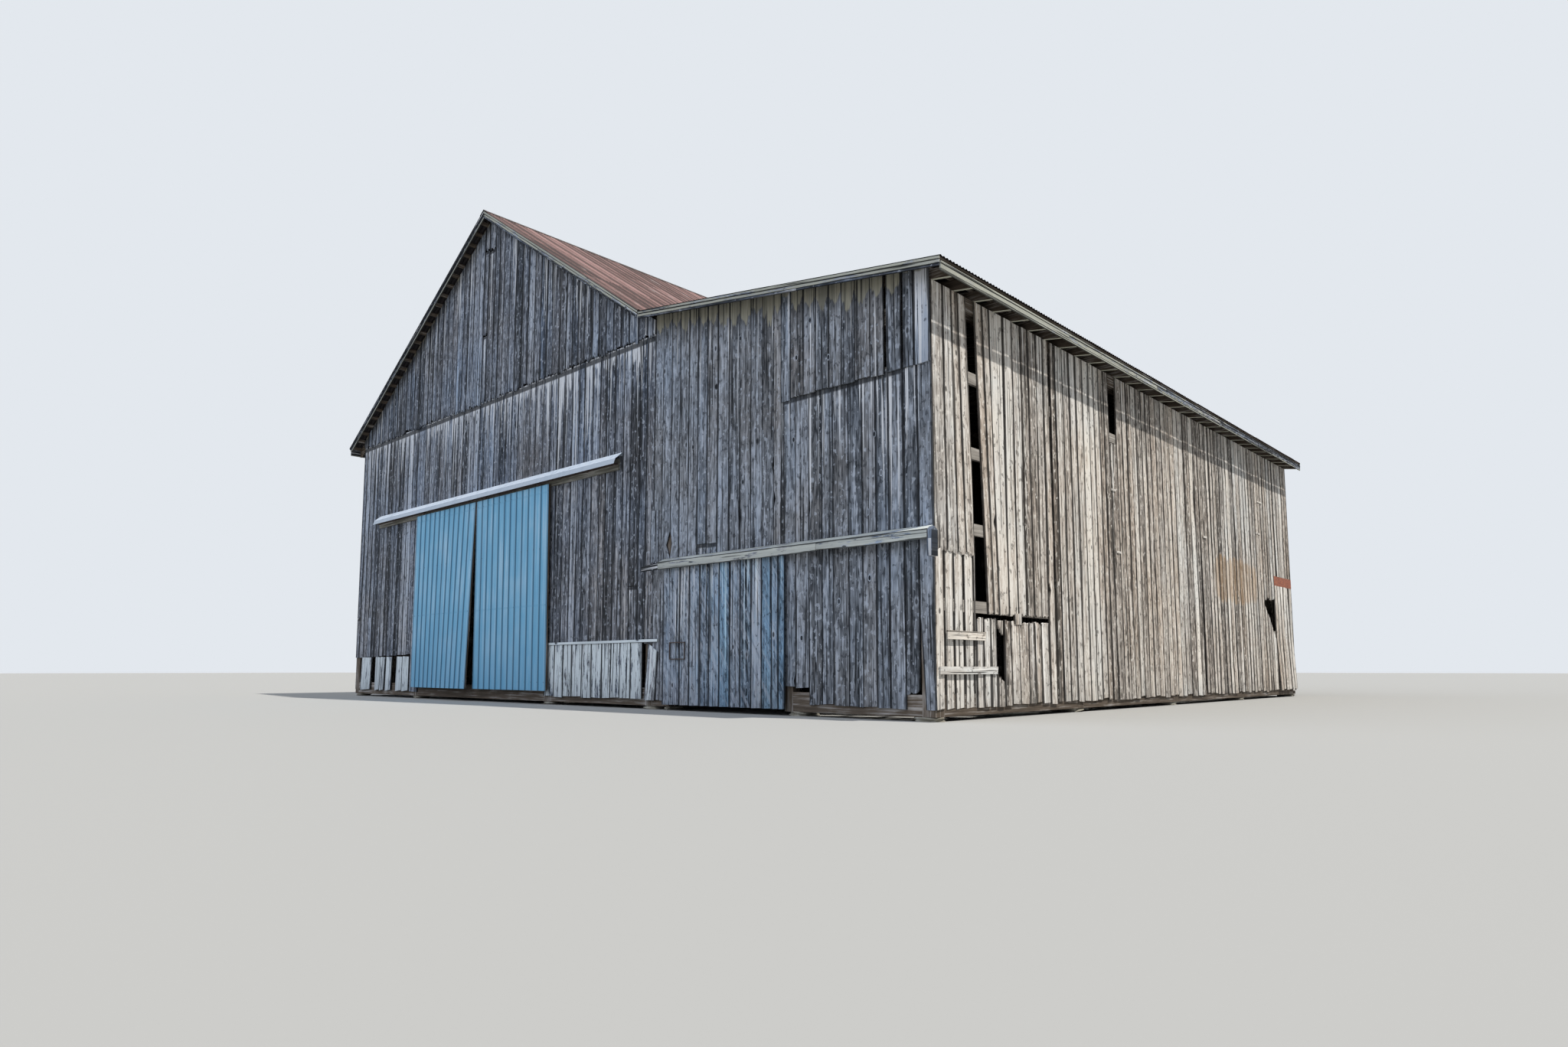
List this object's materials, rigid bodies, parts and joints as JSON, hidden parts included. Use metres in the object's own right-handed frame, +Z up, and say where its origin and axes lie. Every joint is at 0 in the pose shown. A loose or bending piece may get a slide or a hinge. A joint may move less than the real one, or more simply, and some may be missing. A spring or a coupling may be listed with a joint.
{
  "type": "weathered timber barn with a lean-to",
  "caption": "Board-clad timber barn with a gabled main block, a lean-to under its own low roof, and doors that slide along the front wall on rails.",
  "frame": {"origin": "middle of the whole footprint, roof overhangs included, at the lowest ground", "axes": "+X to the right along the front wall, +Y from the front wall to the back, +Z up"},
  "size_m": [18.58, 16.33, 10.7036],
  "materials": {
    "old_boards": "bare weathered boards, silvered and rough",
    "front_boards": "bare weathered boards, grey with pale streaks",
    "frame_timber": "rough sawn timber, dark with age",
    "trim_paint": "old pale paint on planed boards, chalking",
    "skirt_paint": "white paint peeling off weathered boards",
    "stable_boards": "weathered boards with traces of blue stain",
    "roof_rust": "galvanised corrugated steel gone red-brown with rust",
    "blue_steel": "ribbed steel sheet in satin blue paint",
    "hood_steel": "bent steel sheet in pale paint",
    "flashing_rust": "red rust on thin sheet steel",
    "black_iron": "forged iron, dull with rust",
    "field_stone": "flat field stones"
  },
  "bodies": {
    "barn": {"stone_piers": "field_stone", "sill_beams": "frame_timber", "wall_posts": "frame_timber", "aisle_posts": "frame_timber", "tie_beams": "frame_timber", "door_headers": "frame_timber", "roof_plates": "frame_timber", "knee_braces": "frame_timber", "wall_girts": "frame_timber", "main_rafters": "frame_timber", "lean_to_rafters": "frame_timber", "ridge_board": "frame_timber", "roof_lath": "frame_timber", "left_roof": "roof_rust", "right_roof": "roof_rust", "lean_to_roof": "roof_rust", "ridge_cap": "roof_rust", "rake_boards": "trim_paint", "eave_boards": "trim_paint", "front_wall_left": "front_boards", "front_wall_over_doors": "front_boards", "front_wall_middle": "front_boards", "front_gable": "front_boards", "front_wall_over_stable_door": "front_boards", "front_wall_right": "front_boards", "front_wall_upper_right": "front_boards", "left_wall": "old_boards", "back_wall": "old_boards", "back_wall_lean_to": "old_boards", "right_wall_corner": "old_boards", "right_wall_low": "old_boards", "right_wall_middle": "old_boards", "right_wall_rear": "old_boards", "right_wall_rear_corner": "old_boards", "front_skirts": "skirt_paint", "side_battens": "old_boards", "corner_flashing": "flashing_rust", "track_board": "front_boards", "door_rail": "black_iron", "track_hood": "hood_steel", "stable_door_rail": "black_iron", "stable_track_cover": "old_boards"},
    "left_door": {"left_door_frame": "frame_timber", "left_door_sheet": "blue_steel", "left_door_hangers": "black_iron"},
    "right_door": {"right_door_frame": "frame_timber", "right_door_sheet": "blue_steel", "right_door_hangers": "black_iron"},
    "stable_door": {"stable_door_boards": "stable_boards", "stable_door_ledges": "frame_timber", "stable_door_handle": "black_iron", "stable_door_hangers": "black_iron"}
  },
  "joints": [
    {"name": "left_door_slide", "type": "slide", "parent": "barn", "child": "left_door", "axis": [-1, 0, 0], "range_m": [0, 2.1]},
    {"name": "right_door_slide", "type": "slide", "parent": "barn", "child": "right_door", "axis": [1, 0, 0], "range_m": [0, 2.1]},
    {"name": "stable_door_slide", "type": "slide", "parent": "barn", "child": "stable_door", "axis": [1, 0, 0], "range_m": [0, 2.4]}
  ]
}
